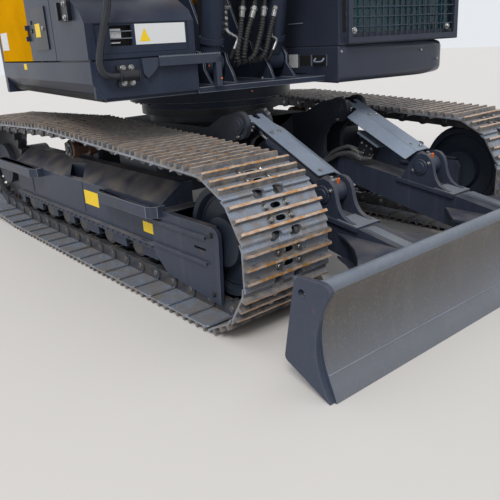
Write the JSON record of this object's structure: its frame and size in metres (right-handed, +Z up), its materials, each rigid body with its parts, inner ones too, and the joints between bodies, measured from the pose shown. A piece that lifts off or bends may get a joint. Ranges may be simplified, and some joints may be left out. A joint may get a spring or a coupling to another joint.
{
  "type": "crawler excavator",
  "caption": "Crawler excavator with steel tracks, front dozer blade, short-tail upper structure, cab, one-piece boom, arm and digging bucket.",
  "frame": {"origin": "on the ground straight below the swing axis", "axes": "+X forward to the blade, +Y to the machine's left, +Z up"},
  "size_m": [7.2849, 2.7867, 5.3286],
  "materials": {
    "frame_paint": "satin",
    "cover_paint": "satin",
    "cab_paint": "satin",
    "hood_paint": "satin",
    "black_metal": "satin",
    "cast": "matte",
    "track_steel": "worn",
    "rusty_steel": "matte",
    "worn_steel": "worn",
    "chrome": "polished",
    "glass": "clear",
    "seat_fabric": "matte",
    "black_plastic": "matte",
    "lamp_white": "gloss"
  },
  "bodies": {
    "undercarriage": {"carbody": "frame_paint", "track_frames": "frame_paint", "idlers": "cast", "sprockets": "worn_steel", "travel_motors": "frame_paint", "lower_rollers": "cast", "carrier_rollers": "rusty_steel", "track_right": "track_steel", "track_left": "track_steel", "idler_guards": "frame_paint", "frame_steps": "frame_paint", "swing_bearing": "black_metal"},
    "blade": {"mouldboard": "frame_paint", "blade_arms": "frame_paint"},
    "blade_barrel": {"blade_barrels": "frame_paint", "blade_covers": "cover_paint"},
    "blade_rod": {"blade_rods": "chrome"},
    "house": {"house_frame": "frame_paint", "side_skirt": "frame_paint", "counterweight": "frame_paint", "bulkhead": "black_metal", "fuel_tank": "frame_paint", "tool_box": "frame_paint", "step_plate": "black_metal", "engine_block": "cast", "handrails": "black_metal", "cab_floor": "frame_paint", "cab_shell": "cab_paint", "cab_roof": "cab_paint", "cab_glass": "glass", "cab_guard": "black_metal", "seat": "seat_fabric", "controls": "black_plastic", "lamps": "lamp_white", "mirrors": "black_plastic"},
    "hood": {"engine_hood": "hood_paint", "exhaust": "black_metal"},
    "right_door": {"hood_door_right": "hood_paint"},
    "left_door": {"hood_door_left": "hood_paint"},
    "lid": {"tool_box_lid": "frame_paint"},
    "door": {"cab_door": "cab_paint", "door_glass": "glass"},
    "boom": {"boom": "hood_paint"},
    "boom_barrel": {"boom_barrels": "frame_paint"},
    "boom_rod": {"boom_rods": "chrome"},
    "arm": {"arm": "hood_paint"},
    "arm_barrel": {"arm_barrel": "frame_paint"},
    "arm_rod": {"arm_rod": "chrome"},
    "bucket": {"bucket": "cast"},
    "bucket_barrel": {"bucket_barrel": "frame_paint"},
    "bucket_rod": {"bucket_rod": "chrome"},
    "rocker": {"bucket_rocker": "cast"},
    "link": {"bucket_link": "cast"}
  },
  "joints": [
    {"name": "slew", "type": "hinge", "parent": "undercarriage", "child": "house", "pos_m": [0, 0, 0.9], "axis": [0, 0, 1], "continuous": true},
    {"name": "blade_lift", "type": "hinge", "parent": "undercarriage", "child": "blade", "pos_m": [0.74, 0, 0.47], "axis": [0, -1, 0], "range_deg": [-15, 15]},
    {"name": "blade_barrel_tilt", "type": "hinge", "parent": "blade", "child": "blade_barrel", "pos_m": [1.58, 0, 0.52], "axis": [0, -1, 0], "range_deg": [-1.35, 1.35]},
    {"name": "blade_rod_slide", "type": "slide", "parent": "blade_barrel", "child": "blade_rod", "axis": [-0.9001, 0, 0.4357], "range_m": [-0.1117, 0.1117]},
    {"name": "boom_lift", "type": "hinge", "parent": "house", "child": "boom", "pos_m": [0.26577, -0.26456, 1.62], "axis": [-0.1392, -0.9903, 0], "range_deg": [-74, 16]},
    {"name": "boom_barrel_tilt", "type": "hinge", "parent": "house", "child": "boom_barrel", "pos_m": [0.79556, -0.33902, 1.17], "axis": [-0.1392, -0.9903, 0], "range_deg": [-76.09, 16.84]},
    {"name": "boom_rod_slide", "type": "slide", "parent": "boom_barrel", "child": "boom_rod", "axis": [0.2497, -0.0351, 0.9677], "range_m": [-0.8582, 0.1895]},
    {"name": "arm_swing", "type": "hinge", "parent": "boom", "child": "arm", "pos_m": [3.65096, -0.74032, 4.698], "axis": [0.1392, 0.9903, 0], "range_deg": [-77, 43]},
    {"name": "arm_barrel_tilt", "type": "hinge", "parent": "boom", "child": "arm_barrel", "pos_m": [1.04735, -0.37441, 3.77722], "axis": [0.1392, 0.9903, 0], "range_deg": [-1.73, 2.7]},
    {"name": "arm_rod_slide", "type": "slide", "parent": "arm_barrel", "child": "arm_rod", "axis": [0.8502, -0.1195, 0.5127], "range_m": [-0.7126, 0.4001]},
    {"name": "bucket_curl", "type": "hinge", "parent": "arm", "child": "bucket", "pos_m": [4.8888, -0.91429, 2.53294], "axis": [0.1392, 0.9903, 0], "range_deg": [-95, 70]},
    {"name": "rocker_swing", "type": "hinge", "parent": "arm", "child": "rocker", "pos_m": [4.72505, -0.89127, 2.89935], "axis": [0.1392, 0.9903, 0], "range_deg": [-67.04, 49.53]},
    {"name": "link_swing", "type": "hinge", "parent": "rocker", "child": "link", "pos_m": [5.16036, -0.95245, 2.91833], "axis": [0.1392, 0.9903, 0], "range_deg": [-46.89, 63.46]},
    {"name": "bucket_barrel_tilt", "type": "hinge", "parent": "arm", "child": "bucket_barrel", "pos_m": [4.1574, -0.81149, 4.61221], "axis": [0.1392, 0.9903, 0], "range_deg": [-3.68, 2.85]},
    {"name": "bucket_rod_slide", "type": "slide", "parent": "bucket_barrel", "child": "bucket_rod", "axis": [0.5082, -0.0714, -0.8583], "range_m": [-0.4622, 0.3419]},
    {"name": "cab_door_hinge", "type": "hinge", "parent": "house", "child": "door", "pos_m": [0.26986, 1.17286, 1.9], "axis": [0, 0, 1], "range_deg": [0, 150]},
    {"name": "hood_hinge", "type": "hinge", "parent": "house", "child": "hood", "pos_m": [-0.89025, 0.12512, 1.929], "axis": [-0.1392, -0.9903, 0], "range_deg": [0, 60]},
    {"name": "right_door_hinge", "type": "hinge", "parent": "house", "child": "right_door", "pos_m": [-0.1746, -1.20644, 1.5], "axis": [0, 0, 1], "range_deg": [0, 110]},
    {"name": "left_door_hinge", "type": "hinge", "parent": "house", "child": "left_door", "pos_m": [-0.71664, 1.3317, 1.5], "axis": [0, 0, 1], "range_deg": [0, 100]},
    {"name": "tool_lid_hinge", "type": "hinge", "parent": "house", "child": "lid", "pos_m": [0.57733, -0.08114, 1.56429], "axis": [-0.1392, -0.9903, 0], "range_deg": [0, 85]}
  ],
  "couplings": [
    {"joint": "blade_barrel_tilt", "follows": "blade_lift", "ratio": 0.0567},
    {"joint": "blade_rod_slide", "follows": "blade_lift", "m_per_rad": -0.4076},
    {"joint": "boom_barrel_tilt", "follows": "boom_lift", "ratio": 1.0214},
    {"joint": "boom_rod_slide", "follows": "boom_lift", "m_per_rad": 0.6606},
    {"joint": "arm_barrel_tilt", "follows": "arm_swing", "ratio": -0.0286},
    {"joint": "arm_rod_slide", "follows": "arm_swing", "m_per_rad": 0.5265},
    {"joint": "rocker_swing", "follows": "bucket_curl", "ratio": 0.7004},
    {"joint": "link_swing", "follows": "bucket_curl", "ratio": -0.6628},
    {"joint": "bucket_barrel_tilt", "follows": "bucket_curl", "ratio": 0.0335},
    {"joint": "bucket_rod_slide", "follows": "bucket_curl", "m_per_rad": 0.2757}
  ]
}
